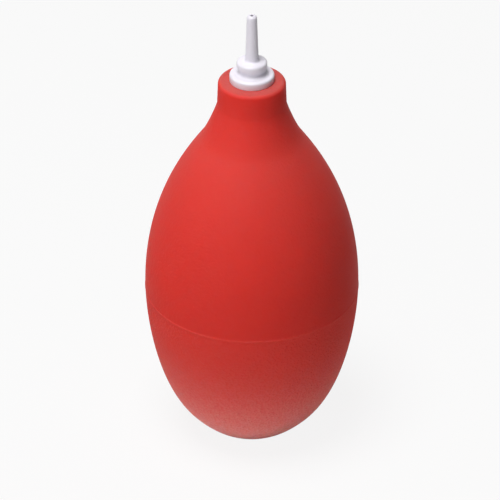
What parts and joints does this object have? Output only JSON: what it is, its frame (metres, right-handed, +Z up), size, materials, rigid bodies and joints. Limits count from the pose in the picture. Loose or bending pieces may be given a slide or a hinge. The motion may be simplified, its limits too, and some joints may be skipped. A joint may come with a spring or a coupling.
{
  "type": "dust blower bulb",
  "caption": "Egg-shaped soft rubber squeeze bulb with a flat foot, a round neck and a fine tapered nozzle that blows dust off small parts.",
  "frame": {"origin": "centre of the flat foot that the bulb stands on", "axes": "+Z up along the bulb's axis, towards the nozzle's tip; the part is round about Z"},
  "size_m": [0.0462, 0.0462, 0.1015],
  "materials": {
    "bulb_rubber": "satin red moulded rubber, frosted below the mould line",
    "white_plastic": "satin white moulded polyethylene",
    "valve_silicone": "soft matt silicone"
  },
  "bodies": {
    "bulb": {"bulb": "bulb_rubber", "inlet_valve_body": "white_plastic", "inlet_valve_cage": "white_plastic"},
    "head": {"neck_plug": "white_plastic"},
    "nozzle": {"nozzle": "white_plastic"},
    "outlet_disc": {"outlet_valve_disc": "valve_silicone"},
    "inlet_disc": {"inlet_valve_disc": "valve_silicone"}
  },
  "joints": [
    {"name": "squeeze", "type": "slide", "parent": "bulb", "child": "head", "axis": [0, 0, -1], "range_m": [0, 0.02], "stiffness_N_per_m": 900, "deforming": ["bulb"]},
    {"name": "nozzle_pull", "type": "slide", "parent": "head", "child": "nozzle", "axis": [0, 0, 1], "range_m": [0, 0.0065]},
    {"name": "outlet_valve_lift", "type": "slide", "parent": "head", "child": "outlet_disc", "axis": [0, 0, 1], "range_m": [0, 0.0008]},
    {"name": "inlet_valve_lift", "type": "slide", "parent": "bulb", "child": "inlet_disc", "axis": [0, 0, 1], "range_m": [0, 0.001]}
  ]
}
